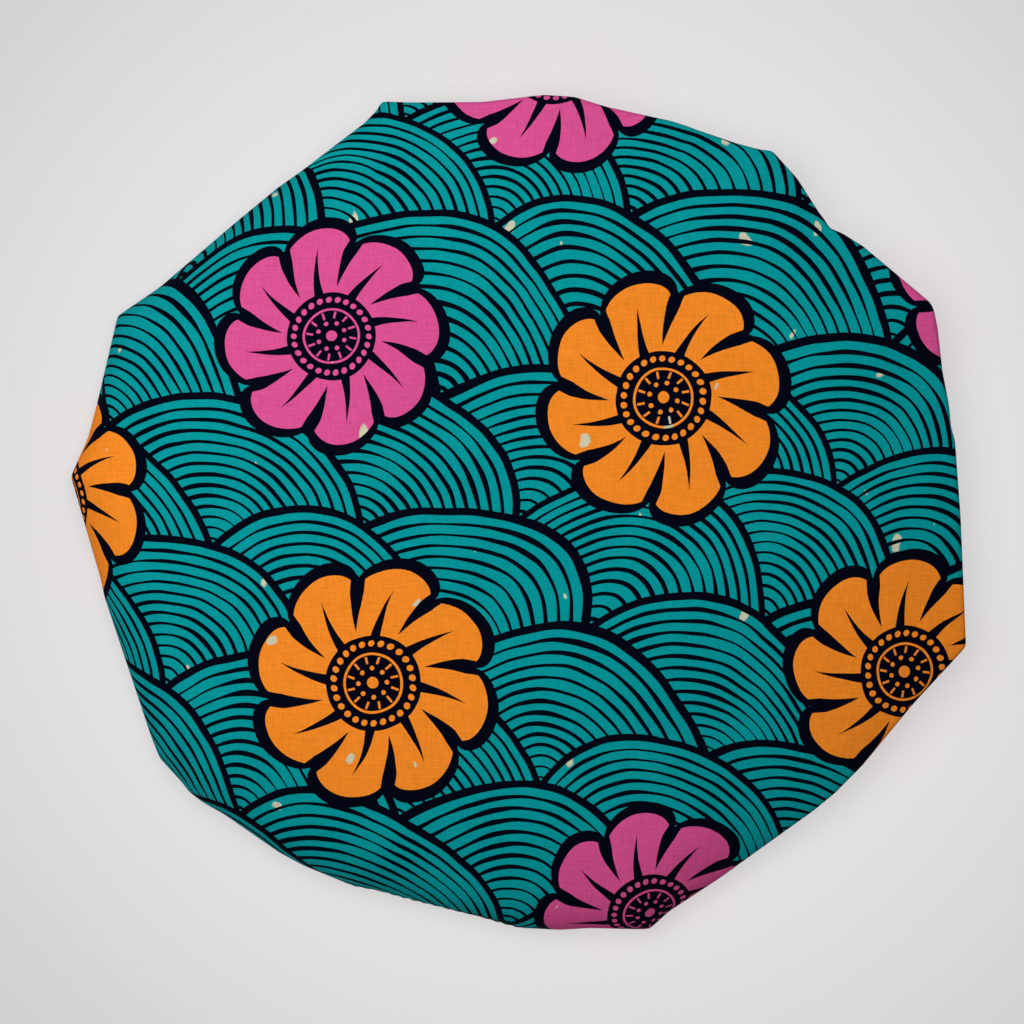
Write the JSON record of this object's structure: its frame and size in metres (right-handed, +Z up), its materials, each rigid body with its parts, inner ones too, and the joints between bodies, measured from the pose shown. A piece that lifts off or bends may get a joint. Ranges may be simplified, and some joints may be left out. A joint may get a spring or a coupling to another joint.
{
  "type": "hair bonnet",
  "caption": "Round satin-lined cloth hair bonnet with an elastic mouth, lying flat with its crown up and its gathered underside on the table.",
  "frame": {"origin": "on the table, under the middle of the outline", "axes": "+Z up through the crown, +X to the right and +Y to the top of the outline as seen from above"},
  "size_m": [0.35, 0.3262, 0.0339],
  "materials": {
    "printed_cotton": "matte plain-weave cotton with a printed pattern",
    "black_satin": "glossy satin weave",
    "knitted_elastic": "matte ribbed knit",
    "sewing_thread": "spun polyester, low sheen"
  },
  "bodies": {
    "root": {"outer_shell": "printed_cotton", "satin_lining": "black_satin", "casing_strip": "printed_cotton", "elastic_band": "knitted_elastic", "edge_row_needle_thread": "sewing_thread", "edge_row_bobbin_thread": "sewing_thread", "channel_row_needle_thread": "sewing_thread", "channel_row_bobbin_thread": "sewing_thread", "elastic_join_thread": "sewing_thread"}
  },
  "joints": []
}
